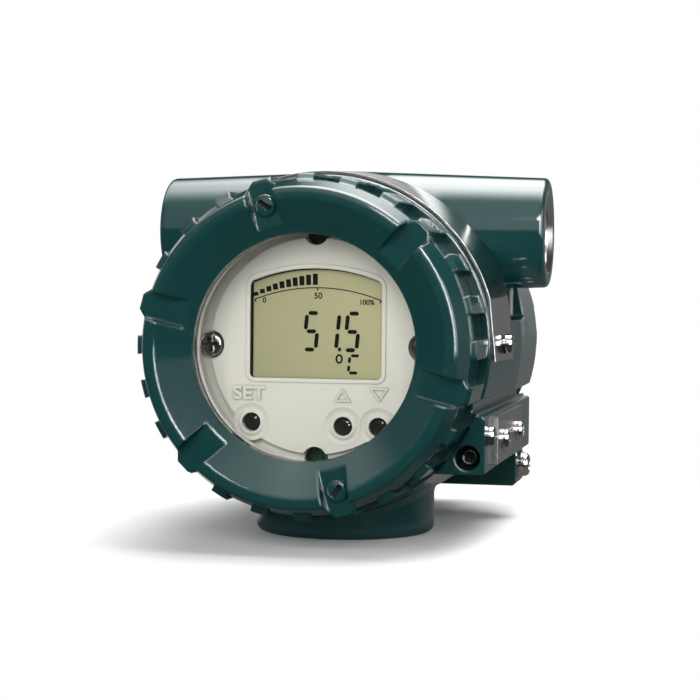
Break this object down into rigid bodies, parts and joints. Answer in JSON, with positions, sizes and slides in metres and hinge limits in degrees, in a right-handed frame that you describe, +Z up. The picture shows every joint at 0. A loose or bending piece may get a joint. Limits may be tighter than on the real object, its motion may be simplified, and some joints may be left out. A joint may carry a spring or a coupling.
{
  "type": "temperature transmitter",
  "caption": "Field temperature transmitter: cast housing with two conduit hubs, windowed screw cover over a digital indicator with push buttons, rear terminal side and mounting foot.",
  "frame": {"origin": "centre of the mounting foot's flat face", "axes": "+X towards the side with the lock rail, +Y from the window towards the terminal side, +Z up"},
  "size_m": [0.11, 0.1484, 0.1016],
  "materials": {
    "green_paint": "deep teal-green gloss paint on cast aluminium",
    "stainless": "bare stainless steel",
    "dark_steel": "blackened steel",
    "seal_rubber": "black seal rubber",
    "window_glass": "clear toughened glass",
    "bezel_plastic": "warm light-grey moulded plastic",
    "lcd_face": "liquid-crystal panel, grey-green",
    "dark_plastic": "black moulded plastic",
    "circuit_board": "green circuit board"
  },
  "bodies": {
    "base": {"housing": "green_paint", "front_lock_screw": "dark_steel", "rear_lock_screw": "dark_steel", "display_bezel": "bezel_plastic", "lcd_panel": "lcd_face", "lcd_holder": "dark_plastic", "display_board": "circuit_board", "button_switches": "dark_plastic", "display_screws": "stainless", "display_pillars": "stainless", "amplifier_case": "dark_plastic", "wire_feedthrough": "dark_plastic", "terminal_block": "dark_plastic", "terminal_screws": "stainless", "terminal_block_screws": "stainless", "inner_earth_screw": "stainless", "name_band": "stainless", "band_screws": "stainless", "side_plate": "stainless", "side_plate_screws": "stainless", "earth_washer": "stainless", "earth_screw": "stainless"},
    "front_seal": {"front_cover_seal": "seal_rubber"},
    "front_cover": {"front_cover": "green_paint", "window_glass": "window_glass", "glass_gasket": "seal_rubber", "glass_retainer": "stainless", "cover_slot_screws": "green_paint"},
    "rear_seal": {"rear_cover_seal": "seal_rubber"},
    "rear_cover": {"rear_cover": "green_paint"},
    "button_set": {"button_set": "dark_plastic"},
    "button_up": {"button_up": "dark_plastic"},
    "button_down": {"button_down": "dark_plastic"}
  },
  "joints": [
    {"name": "front_cover_advance", "type": "slide", "parent": "base", "child": "front_seal", "axis": [0, -1, 0], "range_m": [0, 0.01]},
    {"name": "front_cover_turn", "type": "hinge", "parent": "front_seal", "child": "front_cover", "pos_m": [0, 0.0134, 0.053], "axis": [0, -1, 0], "range_deg": [0, 1800]},
    {"name": "rear_cover_advance", "type": "slide", "parent": "base", "child": "rear_seal", "axis": [0, 1, 0], "range_m": [0, 0.01]},
    {"name": "rear_cover_turn", "type": "hinge", "parent": "rear_seal", "child": "rear_cover", "pos_m": [0, 0.0134, 0.053], "axis": [0, 1, 0], "range_deg": [0, 1800]},
    {"name": "button_set_press", "type": "slide", "parent": "base", "child": "button_set", "axis": [0, 1, 0], "range_m": [0, 0.0005], "stiffness_N_per_m": 2000},
    {"name": "button_up_press", "type": "slide", "parent": "base", "child": "button_up", "axis": [0, 1, 0], "range_m": [0, 0.0005], "stiffness_N_per_m": 2000},
    {"name": "button_down_press", "type": "slide", "parent": "base", "child": "button_down", "axis": [0, 1, 0], "range_m": [0, 0.0005], "stiffness_N_per_m": 2000}
  ],
  "couplings": [
    {"joint": "front_cover_advance", "follows": "front_cover_turn", "m_per_rad": 0.000318},
    {"joint": "rear_cover_advance", "follows": "rear_cover_turn", "m_per_rad": 0.000318}
  ]
}
